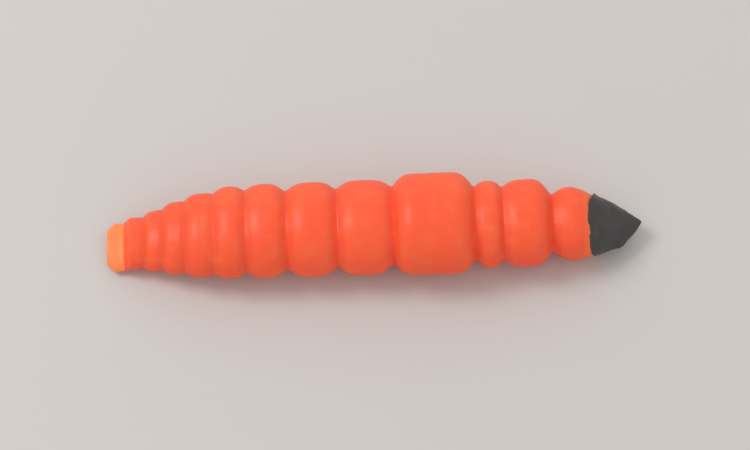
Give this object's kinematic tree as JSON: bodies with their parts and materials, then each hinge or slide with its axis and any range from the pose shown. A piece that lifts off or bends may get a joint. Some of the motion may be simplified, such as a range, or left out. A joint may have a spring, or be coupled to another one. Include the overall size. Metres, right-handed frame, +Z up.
{
  "type": "soft plastic worm",
  "caption": "Straight grub-shaped soft bait: orange ringed body that flexes at every groove, black wedge-shaped head cap, flat trimmed tail.",
  "frame": {"origin": "middle of the flattened belly, under the centre of the worm's box", "axes": "+X along the worm from the tail to the head, +Z up from the belly to the back"},
  "size_m": [0.0362, 0.0072, 0.0056],
  "materials": {
    "orange_plastisol": "satin",
    "black_plastisol": "gloss"
  },
  "bodies": {
    "ring_04": {"ring_04": "orange_plastisol"},
    "waist_03": {"waist_03": "orange_plastisol"},
    "ring_03": {"ring_03": "orange_plastisol"},
    "waist_02": {"waist_02": "orange_plastisol"},
    "ring_02": {"ring_02": "orange_plastisol"},
    "waist_01": {"waist_01": "orange_plastisol"},
    "ring_01": {"ring_01": "orange_plastisol", "head_cap": "black_plastisol"},
    "waist_04": {"waist_04": "orange_plastisol"},
    "ring_05": {"ring_05": "orange_plastisol"},
    "waist_05": {"waist_05": "orange_plastisol"},
    "ring_06": {"ring_06": "orange_plastisol"},
    "waist_06": {"waist_06": "orange_plastisol"},
    "ring_07": {"ring_07": "orange_plastisol"},
    "waist_07": {"waist_07": "orange_plastisol"},
    "ring_08": {"ring_08": "orange_plastisol"},
    "waist_08": {"waist_08": "orange_plastisol"},
    "ring_09": {"ring_09": "orange_plastisol"},
    "waist_09": {"waist_09": "orange_plastisol"},
    "ring_10": {"ring_10": "orange_plastisol"},
    "waist_10": {"waist_10": "orange_plastisol"},
    "ring_11": {"ring_11": "orange_plastisol"},
    "waist_11": {"waist_11": "orange_plastisol"},
    "tail_stub": {"tail_stub": "orange_plastisol"}
  },
  "joints": [
    {"name": "bend_side_03", "type": "hinge", "parent": "ring_04", "child": "waist_03", "pos_m": [0.00673, 0, 0.00255], "axis": [0, 0, 1], "range_deg": [-9, 9], "stiffness_Nm_per_rad": 0.0016, "deforming": ["waist_03"]},
    {"name": "bend_up_03", "type": "hinge", "parent": "waist_03", "child": "ring_03", "pos_m": [0.00673, 0, 0.00255], "axis": [0, -1, 0], "range_deg": [-11, 11], "stiffness_Nm_per_rad": 0.001, "deforming": ["waist_03"]},
    {"name": "bend_side_02", "type": "hinge", "parent": "ring_03", "child": "waist_02", "pos_m": [0.00857, 0, 0.00238], "axis": [0, 0, 1], "range_deg": [-9, 9], "stiffness_Nm_per_rad": 0.0022, "deforming": ["waist_02"]},
    {"name": "bend_up_02", "type": "hinge", "parent": "waist_02", "child": "ring_02", "pos_m": [0.00857, 0, 0.00238], "axis": [0, -1, 0], "range_deg": [-11, 11], "stiffness_Nm_per_rad": 0.0015, "deforming": ["waist_02"]},
    {"name": "bend_side_01", "type": "hinge", "parent": "ring_02", "child": "waist_01", "pos_m": [0.01192, 0, 0.00222], "axis": [0, 0, 1], "range_deg": [-13.5, 13.5], "stiffness_Nm_per_rad": 0.00077, "deforming": ["waist_01"]},
    {"name": "bend_up_01", "type": "hinge", "parent": "waist_01", "child": "ring_01", "pos_m": [0.01192, 0, 0.00222], "axis": [0, -1, 0], "range_deg": [-16, 16], "stiffness_Nm_per_rad": 0.00055, "deforming": ["waist_01"]},
    {"name": "bend_side_04", "type": "hinge", "parent": "ring_04", "child": "waist_04", "pos_m": [0.00118, 0, 0.00259], "axis": [0, 0, -1], "range_deg": [-10, 10], "stiffness_Nm_per_rad": 0.0016, "deforming": ["waist_04"]},
    {"name": "bend_up_04", "type": "hinge", "parent": "waist_04", "child": "ring_05", "pos_m": [0.00118, 0, 0.00259], "axis": [0, 1, 0], "range_deg": [-13, 13], "stiffness_Nm_per_rad": 0.0009, "deforming": ["waist_04"]},
    {"name": "bend_side_05", "type": "hinge", "parent": "ring_05", "child": "waist_05", "pos_m": [-0.00258, 0, 0.00245], "axis": [0, 0, -1], "range_deg": [-10, 10], "stiffness_Nm_per_rad": 0.002, "deforming": ["waist_05"]},
    {"name": "bend_up_05", "type": "hinge", "parent": "waist_05", "child": "ring_06", "pos_m": [-0.00258, 0, 0.00245], "axis": [0, 1, 0], "range_deg": [-13, 13], "stiffness_Nm_per_rad": 0.0012, "deforming": ["waist_05"]},
    {"name": "bend_side_06", "type": "hinge", "parent": "ring_06", "child": "waist_06", "pos_m": [-0.00598, 0, 0.00243], "axis": [0, 0, -1], "range_deg": [-10, 10], "stiffness_Nm_per_rad": 0.0023, "deforming": ["waist_06"]},
    {"name": "bend_up_06", "type": "hinge", "parent": "waist_06", "child": "ring_07", "pos_m": [-0.00598, 0, 0.00243], "axis": [0, 1, 0], "range_deg": [-13.5, 13.5], "stiffness_Nm_per_rad": 0.0013, "deforming": ["waist_06"]},
    {"name": "bend_side_07", "type": "hinge", "parent": "ring_07", "child": "waist_07", "pos_m": [-0.00873, 0, 0.0024], "axis": [0, 0, -1], "range_deg": [-10, 10], "stiffness_Nm_per_rad": 0.0028, "deforming": ["waist_07"]},
    {"name": "bend_up_07", "type": "hinge", "parent": "waist_07", "child": "ring_08", "pos_m": [-0.00873, 0, 0.0024], "axis": [0, 1, 0], "range_deg": [-13.5, 13.5], "stiffness_Nm_per_rad": 0.0015, "deforming": ["waist_07"]},
    {"name": "bend_side_08", "type": "hinge", "parent": "ring_08", "child": "waist_08", "pos_m": [-0.01093, 0, 0.00223], "axis": [0, 0, -1], "range_deg": [-9.5, 9.5], "stiffness_Nm_per_rad": 0.0025, "deforming": ["waist_08"]},
    {"name": "bend_up_08", "type": "hinge", "parent": "waist_08", "child": "ring_09", "pos_m": [-0.01093, 0, 0.00223], "axis": [0, 1, 0], "range_deg": [-13, 13], "stiffness_Nm_per_rad": 0.0013, "deforming": ["waist_08"]},
    {"name": "bend_side_09", "type": "hinge", "parent": "ring_09", "child": "waist_09", "pos_m": [-0.01287, 0, 0.00187], "axis": [0, 0, -1], "range_deg": [-8, 8], "stiffness_Nm_per_rad": 0.0018, "deforming": ["waist_09"]},
    {"name": "bend_up_09", "type": "hinge", "parent": "waist_09", "child": "ring_10", "pos_m": [-0.01287, 0, 0.00187], "axis": [0, 1, 0], "range_deg": [-12, 12], "stiffness_Nm_per_rad": 0.00084, "deforming": ["waist_09"]},
    {"name": "bend_side_10", "type": "hinge", "parent": "ring_10", "child": "waist_10", "pos_m": [-0.01438, 0, 0.00151], "axis": [0, 0, -1], "range_deg": [-7.5, 7.5], "stiffness_Nm_per_rad": 0.0012, "deforming": ["waist_10"]},
    {"name": "bend_up_10", "type": "hinge", "parent": "waist_10", "child": "ring_11", "pos_m": [-0.01438, 0, 0.00151], "axis": [0, 1, 0], "range_deg": [-11.5, 11.5], "stiffness_Nm_per_rad": 0.00053, "deforming": ["waist_10"]},
    {"name": "bend_side_11", "type": "hinge", "parent": "ring_11", "child": "waist_11", "pos_m": [-0.01562, 0, 0.00117], "axis": [0, 0, -1], "range_deg": [-9, 9], "stiffness_Nm_per_rad": 0.00043, "deforming": ["waist_11"]},
    {"name": "bend_up_11", "type": "hinge", "parent": "waist_11", "child": "tail_stub", "pos_m": [-0.01562, 0, 0.00117], "axis": [0, 1, 0], "range_deg": [-15, 15], "stiffness_Nm_per_rad": 0.00016, "deforming": ["waist_11"]}
  ]
}
